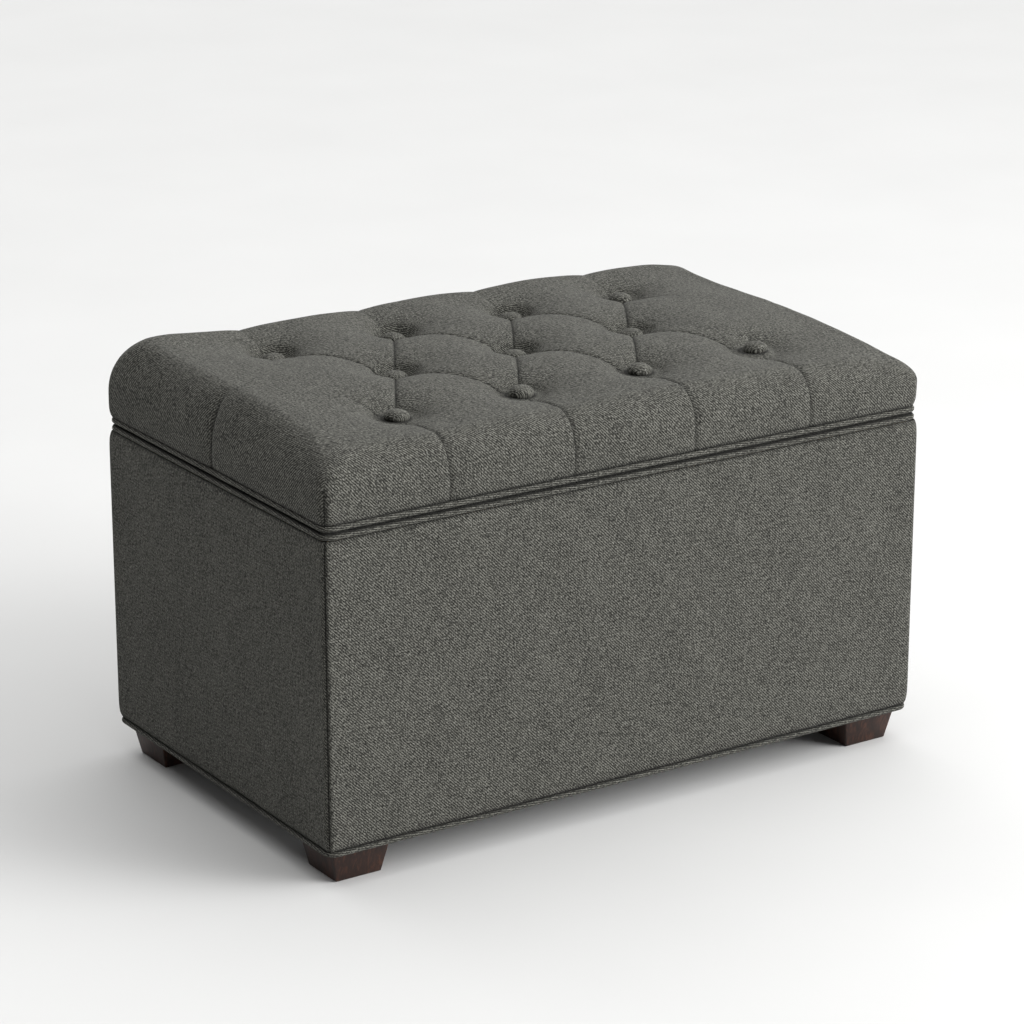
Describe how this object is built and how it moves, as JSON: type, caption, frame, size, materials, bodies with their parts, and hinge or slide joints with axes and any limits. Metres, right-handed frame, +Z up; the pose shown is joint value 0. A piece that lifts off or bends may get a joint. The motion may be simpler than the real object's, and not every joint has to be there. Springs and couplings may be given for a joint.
{
  "type": "storage bench",
  "caption": "Rectangular upholstered storage bench with a button-tufted hinged lid, piped edges, a lined storage box, folding lid stays and short tapered block feet",
  "frame": {"origin": "on the floor, at the centre of the bench's outer bounding box with the lid closed", "axes": "+X to the right along the bench's length, +Y from the front to the hinged back, +Z up"},
  "size_m": [0.762, 0.4672, 0.48],
  "materials": {
    "charcoal_fabric": "heathered woven upholstery cloth",
    "black_cloth": "thin matt cloth",
    "foam": "open-cell foam",
    "plywood": "bare plywood",
    "pine": "bare pine",
    "espresso_wood": "satin dark stain",
    "zinc_steel": "zinc plated",
    "antique_brass": "antique plated",
    "black_steel": "satin black"
  },
  "bodies": {
    "box": {"back_cover": "charcoal_fabric", "back_left_foot": "espresso_wood", "back_left_foot_bolt": "zinc_steel", "back_left_post": "pine", "back_panel": "plywood", "back_right_foot": "espresso_wood", "back_right_foot_bolt": "zinc_steel", "back_right_post": "pine", "base_welt": "charcoal_fabric", "body_welt": "charcoal_fabric", "dust_cover": "black_cloth", "floor_panel": "plywood", "front_cover": "charcoal_fabric", "front_left_foot": "espresso_wood", "front_left_foot_bolt": "zinc_steel", "front_left_post": "pine", "front_panel": "plywood", "front_right_foot": "espresso_wood", "front_right_foot_bolt": "zinc_steel", "front_right_post": "pine", "left_cover": "charcoal_fabric", "left_hinge_body_leaf": "antique_brass", "left_hinge_pin": "antique_brass", "left_panel": "plywood", "left_stay_body_bracket": "black_steel", "padding_wrap": "foam", "right_cover": "charcoal_fabric", "right_hinge_body_leaf": "antique_brass", "right_hinge_pin": "antique_brass", "right_panel": "plywood", "right_stay_body_bracket": "black_steel", "storage_lining": "black_cloth"},
    "lid": {"back_button_1": "charcoal_fabric", "back_button_2": "charcoal_fabric", "back_button_3": "charcoal_fabric", "back_button_4": "charcoal_fabric", "front_button_1": "charcoal_fabric", "front_button_2": "charcoal_fabric", "front_button_3": "charcoal_fabric", "front_button_4": "charcoal_fabric", "middle_button_1": "charcoal_fabric", "middle_button_2": "charcoal_fabric", "middle_button_3": "charcoal_fabric", "lid_board": "plywood", "lid_cover": "charcoal_fabric", "lid_foam": "foam", "lid_underside_cloth": "black_cloth", "lid_welt": "charcoal_fabric", "left_hinge_lid_leaf": "antique_brass", "right_hinge_lid_leaf": "antique_brass", "left_stay_lid_bracket": "black_steel", "right_stay_lid_bracket": "black_steel"},
    "left_lower_arm": {"left_stay_lower_arm": "black_steel", "left_stay_rivet": "black_steel"},
    "left_upper_arm": {"left_stay_upper_arm": "black_steel"},
    "right_lower_arm": {"right_stay_lower_arm": "black_steel", "right_stay_rivet": "black_steel"},
    "right_upper_arm": {"right_stay_upper_arm": "black_steel"}
  },
  "joints": [
    {"name": "lid_hinge", "type": "hinge", "parent": "box", "child": "lid", "pos_m": [0, 0.2304, 0.385], "axis": [-1, 0, 0], "range_deg": [0, 95]},
    {"name": "left_lower_arm_pivot", "type": "hinge", "parent": "box", "child": "left_lower_arm", "pos_m": [-0.3499, 0.1524, 0.298], "axis": [-1, 0, 0], "range_deg": [0, 95]},
    {"name": "left_elbow", "type": "hinge", "parent": "left_lower_arm", "child": "left_upper_arm", "pos_m": [-0.3474, -0.0126, 0.285], "axis": [-1, 0, 0], "range_deg": [-95, 0]},
    {"name": "right_lower_arm_pivot", "type": "hinge", "parent": "box", "child": "right_lower_arm", "pos_m": [0.3499, 0.1524, 0.298], "axis": [-1, 0, 0], "range_deg": [0, 95]},
    {"name": "right_elbow", "type": "hinge", "parent": "right_lower_arm", "child": "right_upper_arm", "pos_m": [0.3474, -0.0126, 0.285], "axis": [-1, 0, 0], "range_deg": [-95, 0]}
  ],
  "couplings": [
    {"joint": "left_lower_arm_pivot", "follows": "lid_hinge", "ratio": 1},
    {"joint": "left_elbow", "follows": "lid_hinge", "ratio": -1},
    {"joint": "right_lower_arm_pivot", "follows": "lid_hinge", "ratio": 1},
    {"joint": "right_elbow", "follows": "lid_hinge", "ratio": -1}
  ]
}
